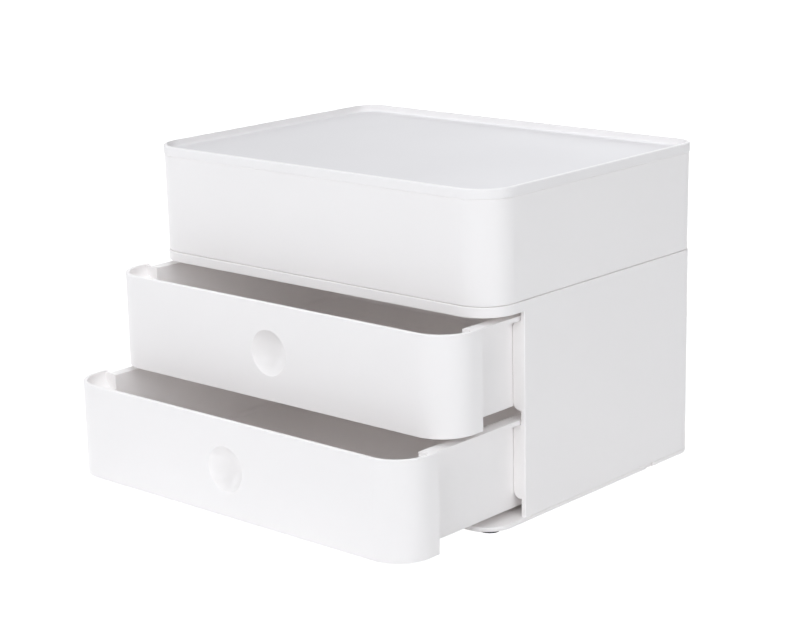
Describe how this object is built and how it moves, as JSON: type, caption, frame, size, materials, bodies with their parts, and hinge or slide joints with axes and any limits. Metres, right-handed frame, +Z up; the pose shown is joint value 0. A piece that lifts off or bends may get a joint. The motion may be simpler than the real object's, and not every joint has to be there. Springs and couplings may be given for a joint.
{
  "type": "file box with drawers",
  "caption": "Desk file box: cabinet with sliding drawers on runners, an open organiser box stacked on top and a shallow tray as its lid",
  "frame": {"origin": "On the desk, under the middle of the closed cabinet; the base plate's flat underside (mount base_underside) lies 1.1 mm above it, on the feet.", "axes": "+Z up, drawer fronts face -Y and drawers open towards -Y, +X is the right-hand side seen from the front."},
  "size_m": [0.2606, 0.2674, 0.19],
  "materials": {
    "white_plastic": "white moulded polystyrene with a soft gloss",
    "white_satin_plastic": "white moulded plastic with a fine satin grain",
    "foot_rubber": "dark grey soft rubber"
  },
  "bodies": {
    "cabinet": {"base_plate": "white_plastic", "cabinet_housing": "white_plastic", "upper_right_runner": "white_plastic", "upper_left_runner": "white_plastic", "lower_right_runner": "white_plastic", "lower_left_runner": "white_plastic", "foot_front_left": "foot_rubber", "foot_front_right": "foot_rubber", "foot_back_left": "foot_rubber", "foot_back_right": "foot_rubber"},
    "upper_drawer": {"upper_drawer": "white_plastic"},
    "lower_drawer": {"lower_drawer": "white_plastic"},
    "organiser": {"organiser_box": "white_plastic", "stacking_foot_front_left": "foot_rubber", "stacking_foot_front_right": "foot_rubber", "stacking_foot_back_left": "foot_rubber", "stacking_foot_back_right": "foot_rubber"},
    "lid": {"lid_tray": "white_satin_plastic"}
  },
  "joints": [
    {"name": "upper_drawer_slide", "type": "slide", "parent": "cabinet", "child": "upper_drawer", "axis": [0, -1, 0], "range_m": [-0.0353, 0.0997]},
    {"name": "lower_drawer_slide", "type": "slide", "parent": "cabinet", "child": "lower_drawer", "axis": [0, -1, 0], "range_m": [-0.0721, 0.0629]},
    {"name": "organiser_lift", "type": "slide", "parent": "cabinet", "child": "organiser", "axis": [0, 0, 1], "range_m": [0, 0.08]},
    {"name": "lid_lift", "type": "slide", "parent": "organiser", "child": "lid", "axis": [0, 0, 1], "range_m": [0, 0.06]}
  ]
}
